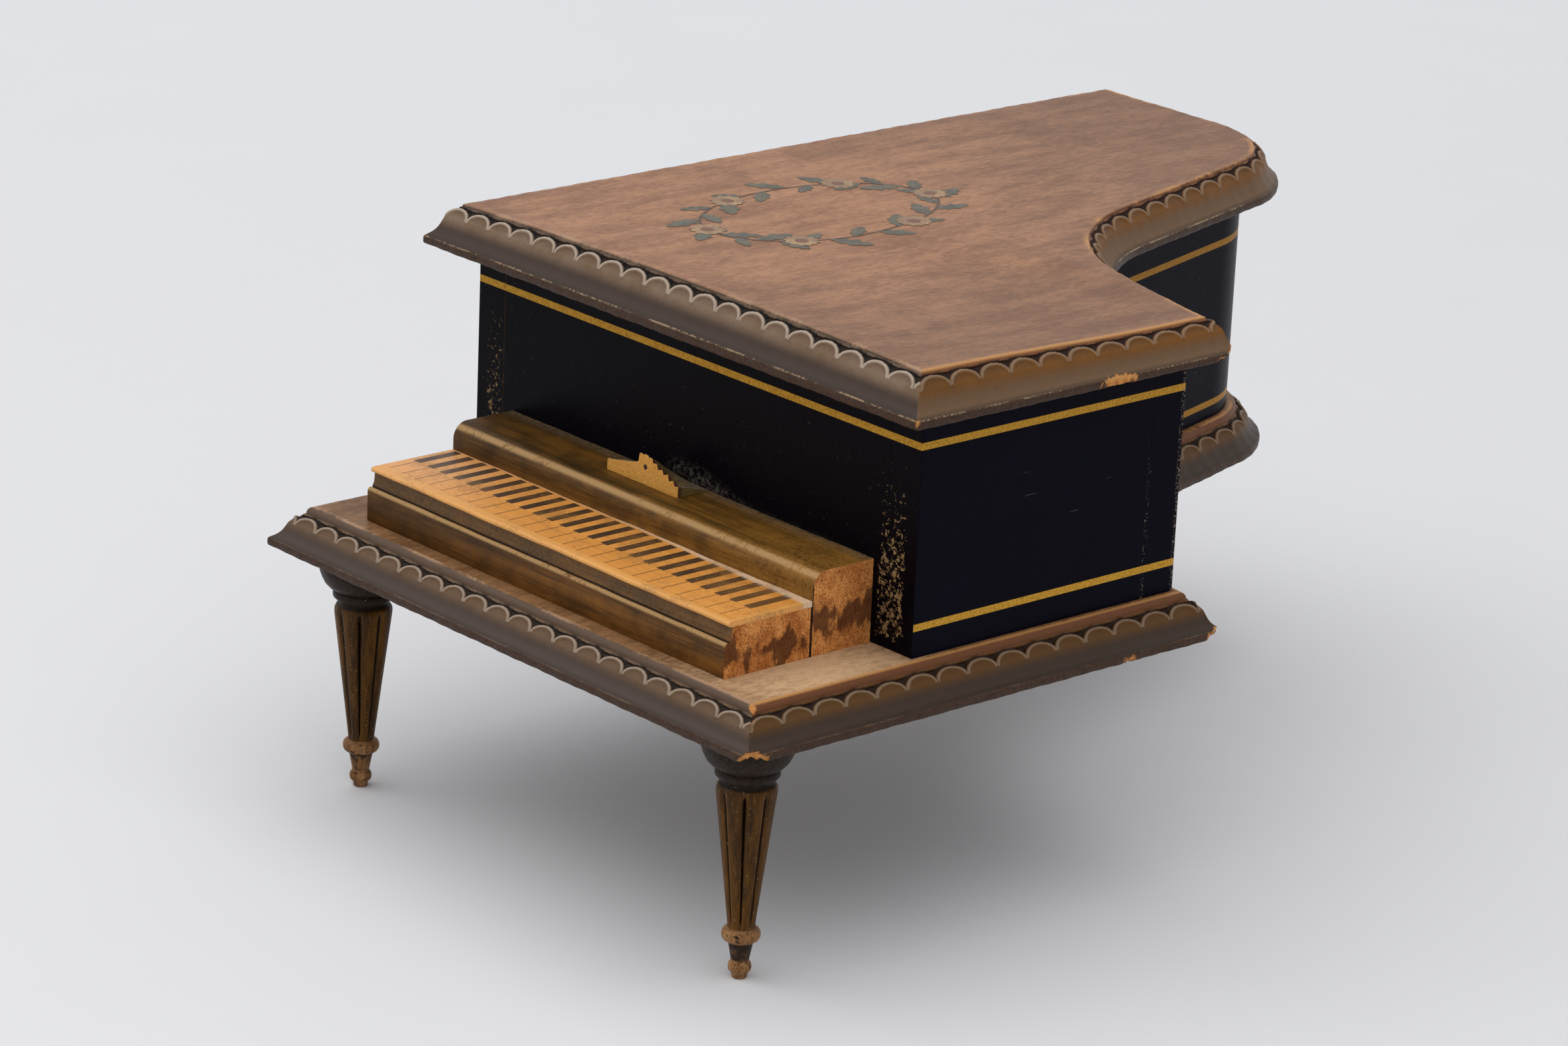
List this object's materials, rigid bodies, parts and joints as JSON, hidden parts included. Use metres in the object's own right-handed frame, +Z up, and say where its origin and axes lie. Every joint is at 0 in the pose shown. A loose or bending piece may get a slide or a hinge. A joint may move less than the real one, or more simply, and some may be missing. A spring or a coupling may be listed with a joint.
{
  "type": "music box",
  "caption": "Grand-piano-shaped wooden music box on turned legs, with a hinged lid over a trinket space and a key-wound pinned-cylinder movement",
  "frame": {"origin": "centre of the footprint, on the surface that the feet stand on", "axes": "+Z up, keyboard facing -Y, straight spine and lid hinges at -X"},
  "size_m": [0.1788, 0.2752, 0.1391],
  "materials": {
    "lid_wood": "satin brown stain with bronzed, carved edge",
    "base_wood": "olive-bronze paint with patina",
    "black_lacquer": "satin-gloss black lacquer with gilt lines",
    "raw_wood": "plain planed wood",
    "olive_wood": "olive-brown paint over bare wood",
    "printed_keys": "varnished tan print with dark keys",
    "gilt": "speckled gold paint",
    "leg_wood": "olive-brown stain worn to bare wood at the rings",
    "hinge_brass": "aged brass",
    "bed_iron": "nickel-grey casting",
    "brass": "polished brass",
    "steel": "bright steel",
    "spring_steel": "blued spring steel"
  },
  "bodies": {
    "case": {"base_board": "base_wood", "front_panel": "black_lacquer", "cheek_panel": "black_lacquer", "bentside_panel": "black_lacquer", "tail_panel": "black_lacquer", "spine_panel": "black_lacquer", "partition": "raw_wood", "keyboard_block": "olive_wood", "key_strip": "printed_keys", "fallboard_block": "olive_wood", "music_desk": "gilt", "leg_front_left": "leg_wood", "leg_front_right": "leg_wood", "leg_rear": "leg_wood", "hinge_case_leaves": "hinge_brass", "hinge_pins": "steel", "hinge_case_screws": "hinge_brass", "bedplate": "bed_iron", "bedplate_screws": "steel", "barrel_bridge": "brass", "bridge_pillars": "brass", "bridge_screws": "steel", "click_spring": "spring_steel", "bearing_left": "brass", "bearing_right": "brass", "bracket_screws": "steel", "comb": "steel", "comb_screws": "steel", "governor_frame": "brass"},
    "lid": {"lid": "lid_wood", "hinge_lid_leaves": "hinge_brass", "hinge_lid_screws": "hinge_brass"},
    "barrel": {"spring_barrel": "brass", "barrel_cover": "brass", "mainspring": "spring_steel"},
    "winding": {"winding_arbor": "steel", "ratchet_wheel": "steel", "winding_key": "brass"},
    "click": {"click": "steel"},
    "cylinder": {"pinned_cylinder": "brass", "cylinder_pins": "steel", "cylinder_arbor": "steel", "cylinder_pinion": "steel", "cylinder_gear": "brass"},
    "transfer": {"transfer_arbor": "steel", "worm_wheel": "brass"},
    "governor": {"worm": "steel", "governor_fan": "brass"},
    "stop": {"stop_lever": "steel"}
  },
  "joints": [
    {"name": "lid_hinge", "type": "hinge", "parent": "case", "child": "lid", "pos_m": [-0.0818, -0.04675, 0.1286], "axis": [0, -1, 0], "range_deg": [0, 100]},
    {"name": "stop_swing", "type": "hinge", "parent": "case", "child": "stop", "pos_m": [-0.06631, 0.08395, 0.09443], "axis": [0, -1, 0], "range_deg": [0, 5]},
    {"name": "winding_turn", "type": "hinge", "parent": "case", "child": "winding", "pos_m": [-0.047, 0.02725, 0.0705], "axis": [0, 0, 1], "continuous": true},
    {"name": "click_swing", "type": "hinge", "parent": "case", "child": "click", "pos_m": [-0.05689, 0.02975, 0.08782], "axis": [0, 0, -1], "range_deg": [0, 6], "stiffness_Nm_per_rad": 0.002},
    {"name": "barrel_turn", "type": "hinge", "parent": "case", "child": "barrel", "pos_m": [-0.047, 0.02725, 0.0705], "axis": [0, 0, 1], "continuous": true},
    {"name": "cylinder_turn", "type": "hinge", "parent": "case", "child": "cylinder", "pos_m": [-0.047, 0.04825, 0.0885], "axis": [0, 1, 0], "continuous": true},
    {"name": "transfer_turn", "type": "hinge", "parent": "case", "child": "transfer", "pos_m": [-0.05413, 0.08335, 0.09563], "axis": [0, 1, 0], "continuous": true},
    {"name": "governor_spin", "type": "hinge", "parent": "case", "child": "governor", "pos_m": [-0.06181, 0.08395, 0.0773], "axis": [0, 0, 1], "continuous": true}
  ],
  "couplings": [
    {"joint": "stop_swing", "follows": "lid_hinge", "ratio": 0.05},
    {"joint": "cylinder_turn", "follows": "barrel_turn", "ratio": 3},
    {"joint": "transfer_turn", "follows": "barrel_turn", "ratio": -12},
    {"joint": "governor_spin", "follows": "barrel_turn", "ratio": 360}
  ]
}
